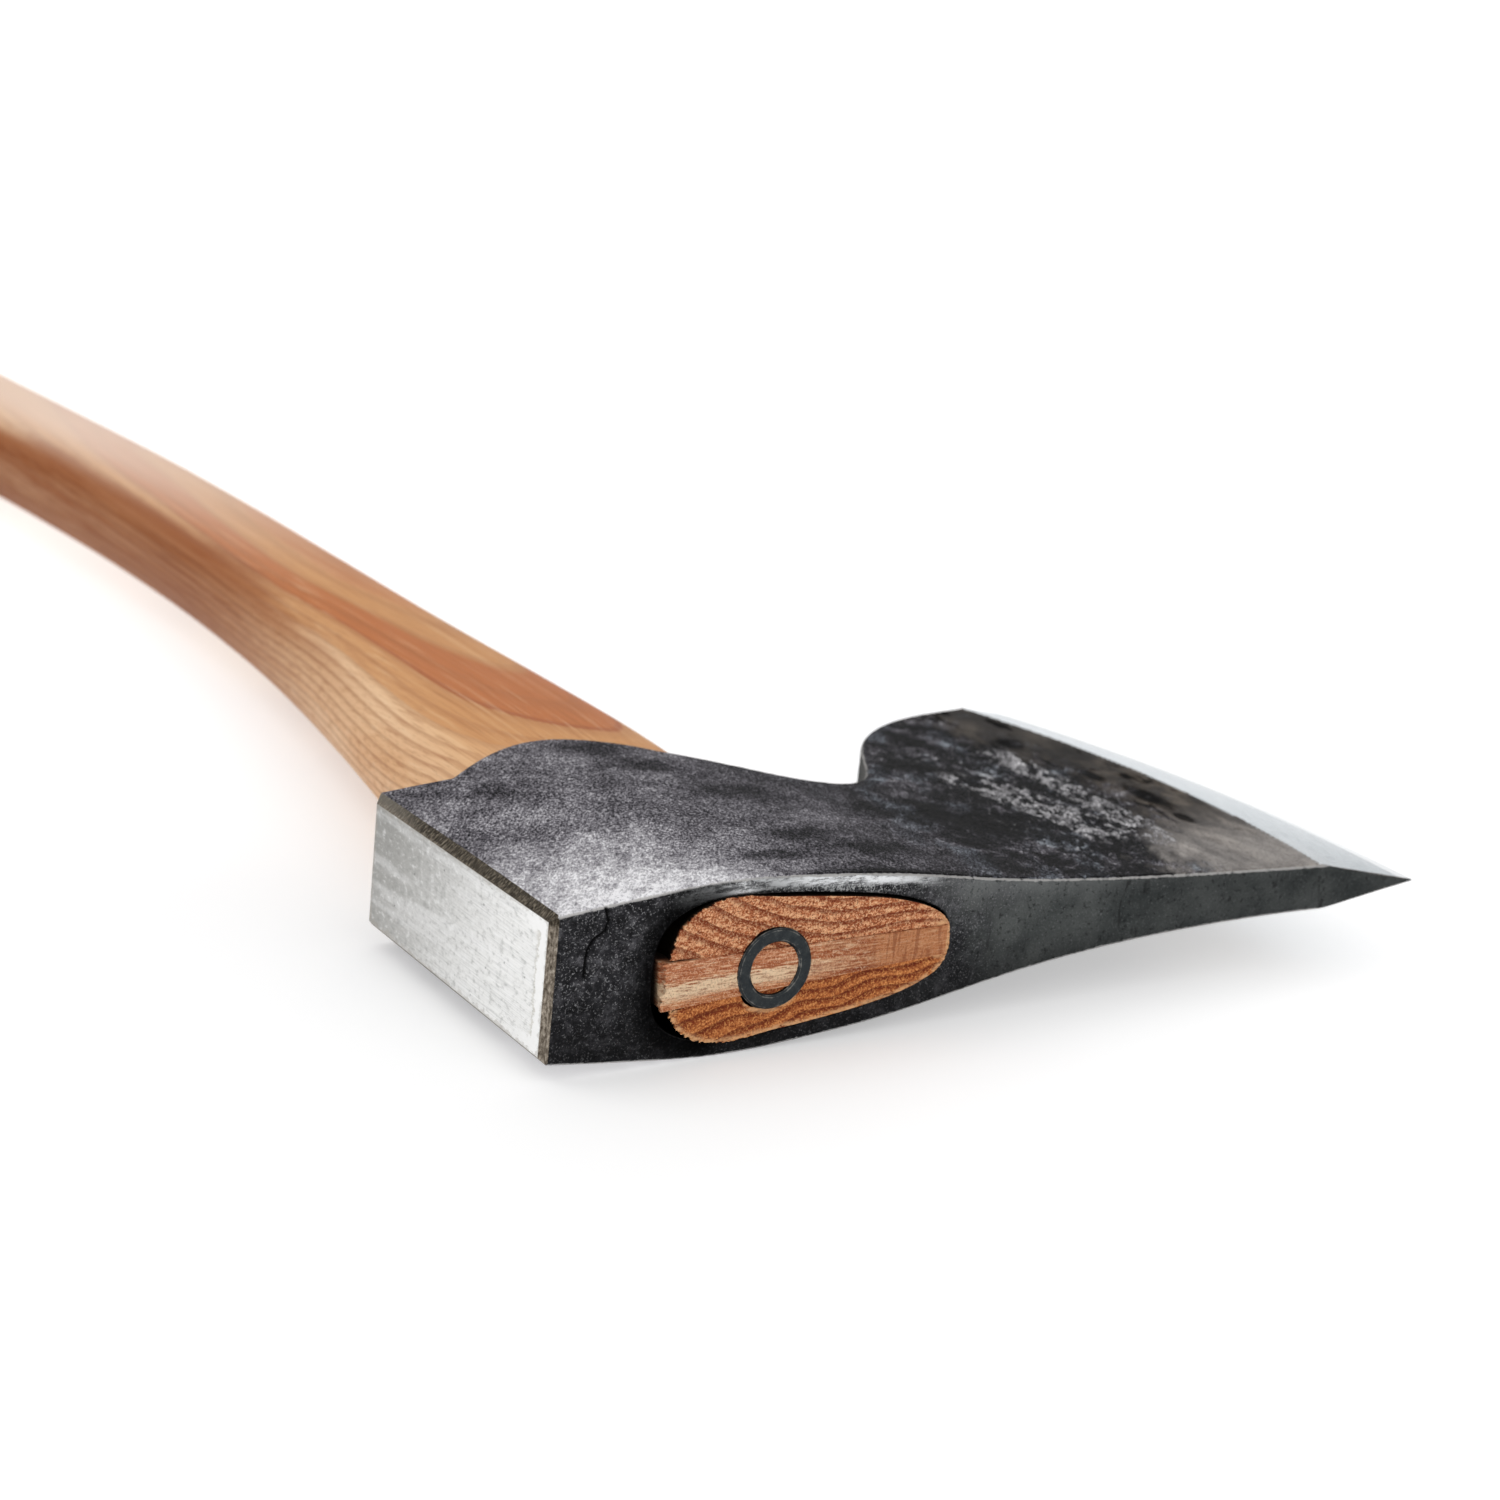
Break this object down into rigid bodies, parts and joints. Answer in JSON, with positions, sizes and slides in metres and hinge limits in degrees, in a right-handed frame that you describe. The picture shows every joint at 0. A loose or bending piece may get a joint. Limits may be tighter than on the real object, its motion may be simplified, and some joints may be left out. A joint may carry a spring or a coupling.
{
  "type": "felling axe",
  "caption": "Felling axe with a bearded, forged steel head, ground poll and bevels, a curved wooden handle, and a wooden wedge and steel ring wedge in the eye.",
  "frame": {"origin": "centre of the flat ground poll face", "axes": "+X from the poll to the cutting edge, +Y from the top of the eye to the handle's end, +Z out of the upper cheek; the axe lies on its side"},
  "size_m": [0.1919, 0.7318, 0.0326],
  "materials": {
    "forged_steel": "dark forge scale, ground bright on the poll and bevels",
    "handle_wood": "smooth oiled hickory",
    "wedge_wood": "sawn pale hardwood",
    "ring_steel": "blackened steel"
  },
  "bodies": {
    "root": {"axe_head": "forged_steel", "handle": "handle_wood", "wooden_wedge": "wedge_wood", "ring_wedge": "ring_steel"}
  },
  "joints": []
}
